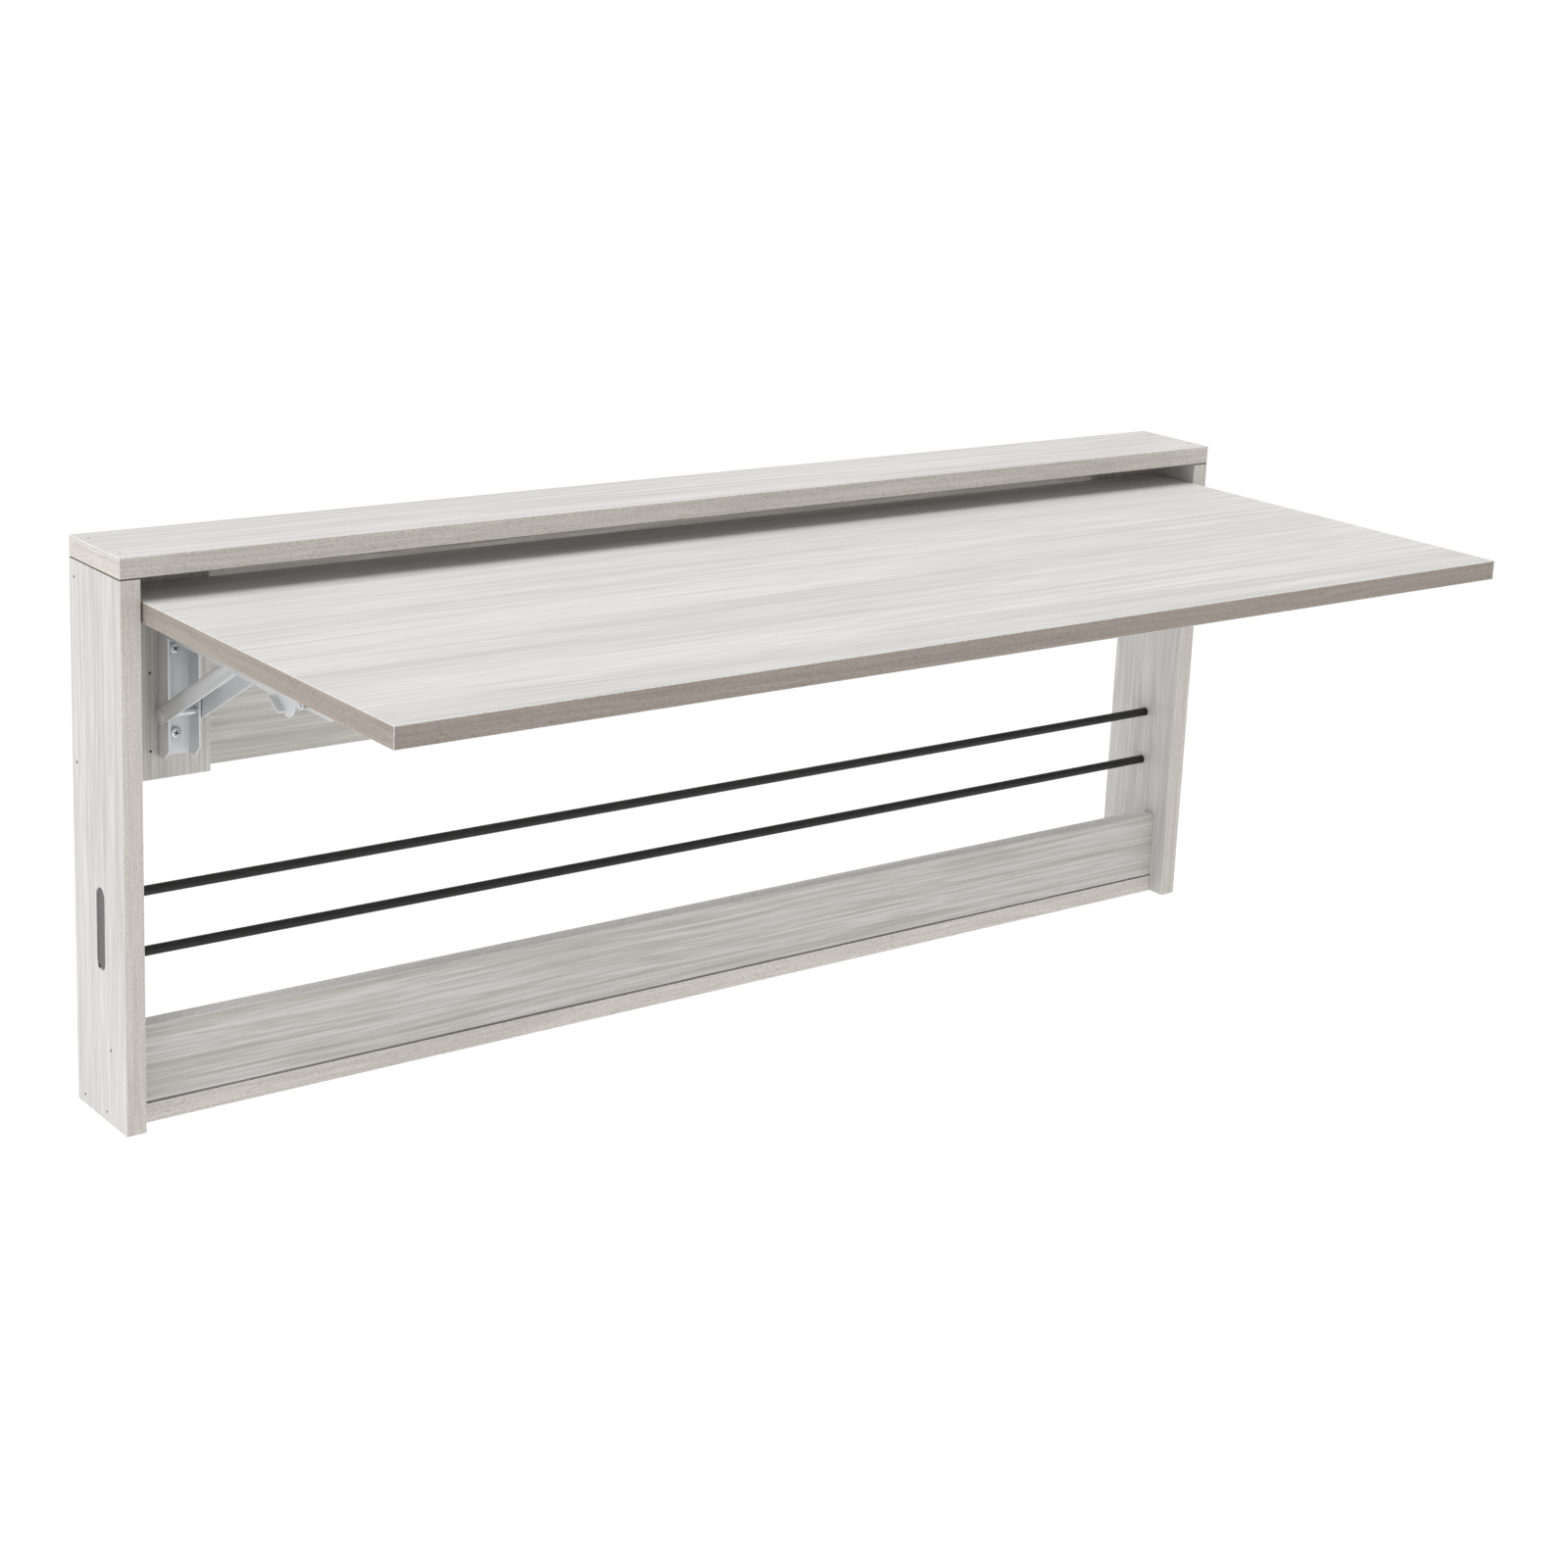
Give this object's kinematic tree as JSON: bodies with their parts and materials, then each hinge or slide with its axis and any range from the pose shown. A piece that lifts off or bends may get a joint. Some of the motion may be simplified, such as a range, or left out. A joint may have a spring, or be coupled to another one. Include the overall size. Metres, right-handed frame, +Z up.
{
  "type": "wall mounted fold down drying rack",
  "caption": "Shallow wall frame with a fold-down table panel on locking strut brackets, and round hanging rods across the open frame below it.",
  "frame": {"origin": "on the back face of the upper back rail, at its middle", "axes": "+X along the wall to the right as seen from the room, +Y into the wall, +Z up"},
  "size_m": [1.02, 0.4222, 0.416],
  "materials": {
    "whitewashed_laminate": "matt whitewashed laminate with a fine straight grain",
    "light_grey_paint": "satin light grey powder coat",
    "black_coated_steel": "matt black powder coat",
    "dark_steel_plate": "matt dark grey coat",
    "zinc_plated_steel": "bright zinc plate",
    "dark_brad_steel": "dark steel"
  },
  "bodies": {
    "frame": {"bottom_shelf": "whitewashed_laminate", "left_bracket_cleat": "whitewashed_laminate", "left_cap_brad_back": "dark_brad_steel", "left_cap_brad_front": "dark_brad_steel", "left_cleat_brad_lower": "dark_brad_steel", "left_cleat_brad_upper": "dark_brad_steel", "left_front_rail_brad": "dark_brad_steel", "left_hinge_pin": "zinc_plated_steel", "left_rail_brad_lower": "dark_brad_steel", "left_rail_brad_upper": "dark_brad_steel", "left_shelf_brad_back": "dark_brad_steel", "left_shelf_brad_front": "dark_brad_steel", "left_side_panel": "whitewashed_laminate", "left_strut_pivot_pin": "zinc_plated_steel", "left_wall_channel": "light_grey_paint", "left_wall_channel_screw_lower": "zinc_plated_steel", "left_wall_channel_screw_upper": "zinc_plated_steel", "lower_front_rail": "whitewashed_laminate", "lower_hanging_rod": "black_coated_steel", "right_bracket_cleat": "whitewashed_laminate", "right_cap_brad_back": "dark_brad_steel", "right_cap_brad_front": "dark_brad_steel", "right_cleat_brad_lower": "dark_brad_steel", "right_cleat_brad_upper": "dark_brad_steel", "right_front_rail_brad": "dark_brad_steel", "right_hinge_pin": "zinc_plated_steel", "right_rail_brad_lower": "dark_brad_steel", "right_rail_brad_upper": "dark_brad_steel", "right_shelf_brad_back": "dark_brad_steel", "right_shelf_brad_front": "dark_brad_steel", "right_side_panel": "whitewashed_laminate", "right_strut_pivot_pin": "zinc_plated_steel", "right_wall_channel": "light_grey_paint", "right_wall_channel_screw_lower": "zinc_plated_steel", "right_wall_channel_screw_upper": "zinc_plated_steel", "rod_end_plate": "dark_steel_plate", "top_panel": "whitewashed_laminate", "upper_back_rail": "whitewashed_laminate", "upper_hanging_rod": "black_coated_steel"},
    "table": {"folding_table": "whitewashed_laminate", "left_table_channel": "light_grey_paint", "left_lever_pin": "zinc_plated_steel", "left_lever_spring": "zinc_plated_steel", "left_table_screw_1": "zinc_plated_steel", "left_table_screw_2": "zinc_plated_steel", "left_table_screw_3": "zinc_plated_steel", "right_table_channel": "light_grey_paint", "right_lever_pin": "zinc_plated_steel", "right_lever_spring": "zinc_plated_steel", "right_table_screw_1": "zinc_plated_steel", "right_table_screw_2": "zinc_plated_steel", "right_table_screw_3": "zinc_plated_steel"},
    "left_lock": {"left_lock_pin": "zinc_plated_steel"},
    "left_strut_arm": {"left_strut": "light_grey_paint"},
    "left_lever": {"left_release_lever": "light_grey_paint"},
    "right_lock": {"right_lock_pin": "zinc_plated_steel"},
    "right_strut_arm": {"right_strut": "light_grey_paint"},
    "right_lever": {"right_release_lever": "light_grey_paint"}
  },
  "joints": [
    {"name": "table_hinge", "type": "hinge", "parent": "frame", "child": "table", "pos_m": [0, -0.0605, 0.04224], "axis": [1, 0, 0], "range_deg": [0, 90]},
    {"name": "left_lock_slide", "type": "slide", "parent": "table", "child": "left_lock", "axis": [0, -1, 0], "range_m": [0, 0.10689]},
    {"name": "left_strut_pivot", "type": "hinge", "parent": "left_lock", "child": "left_strut_arm", "pos_m": [-0.448, -0.1649, 0.03874], "axis": [1, 0, 0], "range_deg": [0, 23.47]},
    {"name": "left_release_lever_pivot", "type": "hinge", "parent": "table", "child": "left_lever", "pos_m": [-0.4655, -0.2615, 0.03274], "axis": [-1, 0, 0], "range_deg": [0, 6], "stiffness_Nm_per_rad": 0.4, "springref_deg": -5.73},
    {"name": "right_lock_slide", "type": "slide", "parent": "table", "child": "right_lock", "axis": [0, -1, 0], "range_m": [0, 0.10689]},
    {"name": "right_strut_pivot", "type": "hinge", "parent": "right_lock", "child": "right_strut_arm", "pos_m": [0.448, -0.1649, 0.03874], "axis": [1, 0, 0], "range_deg": [0, 23.47]},
    {"name": "right_release_lever_pivot", "type": "hinge", "parent": "table", "child": "right_lever", "pos_m": [0.4305, -0.2615, 0.03274], "axis": [-1, 0, 0], "range_deg": [0, 6], "stiffness_Nm_per_rad": 0.4, "springref_deg": -5.73}
  ],
  "couplings": [
    {"joint": "left_lock_slide", "follows": "table_hinge", "m_per_rad": 0.068042},
    {"joint": "left_strut_pivot", "follows": "table_hinge", "ratio": 0.2608},
    {"joint": "right_lock_slide", "follows": "table_hinge", "m_per_rad": 0.068042},
    {"joint": "right_strut_pivot", "follows": "table_hinge", "ratio": 0.2608}
  ]
}
